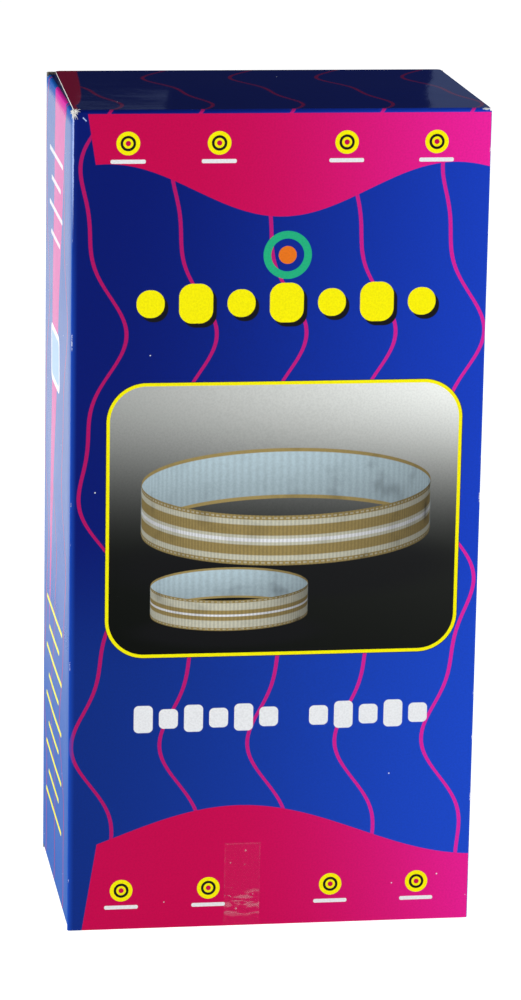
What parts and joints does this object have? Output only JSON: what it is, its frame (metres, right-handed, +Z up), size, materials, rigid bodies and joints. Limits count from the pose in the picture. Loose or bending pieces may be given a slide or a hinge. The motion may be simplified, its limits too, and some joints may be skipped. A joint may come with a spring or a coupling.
{
  "type": "retail carton",
  "caption": "Tall folding carton of thin glossy board with a hinged tuck lid, folding dust flaps and a taped tuck base, empty and closed.",
  "frame": {"origin": "middle of the footprint, on the surface that the carton stands on", "axes": "+Z up along the carton's height, front wall facing -Y, +X to the right seen from the front"},
  "size_m": [0.125, 0.08, 0.254],
  "materials": {
    "printed_board": "glossy printed and laminated board, royal blue and magenta",
    "raw_board": "uncoated off-white board",
    "clear_tape": "clear glossy adhesive tape"
  },
  "bodies": {
    "carton": {"carton_sleeve": "printed_board", "bottom_panel": "printed_board", "bottom_dust_flap_left": "raw_board", "bottom_dust_flap_right": "raw_board", "clear_tape": "clear_tape"},
    "lid": {"lid_panel": "printed_board"},
    "tuck": {"tuck_flap": "printed_board"},
    "dust_left": {"top_dust_flap_left": "raw_board"},
    "dust_right": {"top_dust_flap_right": "raw_board"}
  },
  "joints": [
    {"name": "lid_hinge", "type": "hinge", "parent": "carton", "child": "lid", "pos_m": [0, -0.04, 0.25335], "axis": [1, 0, 0], "range_deg": [0, 170]},
    {"name": "tuck_fold", "type": "hinge", "parent": "lid", "child": "tuck", "pos_m": [0, 0.0382, 0.25335], "axis": [1, 0, 0], "range_deg": [0, 42.5]},
    {"name": "dust_fold_left", "type": "hinge", "parent": "carton", "child": "dust_left", "pos_m": [-0.062, 0, 0.2524], "axis": [0, 1, 0], "range_deg": [0, 88]},
    {"name": "dust_fold_right", "type": "hinge", "parent": "carton", "child": "dust_right", "pos_m": [0.062, 0, 0.2524], "axis": [0, -1, 0], "range_deg": [0, 88]}
  ],
  "couplings": [
    {"joint": "tuck_fold", "follows": "lid_hinge", "ratio": 0.25}
  ]
}
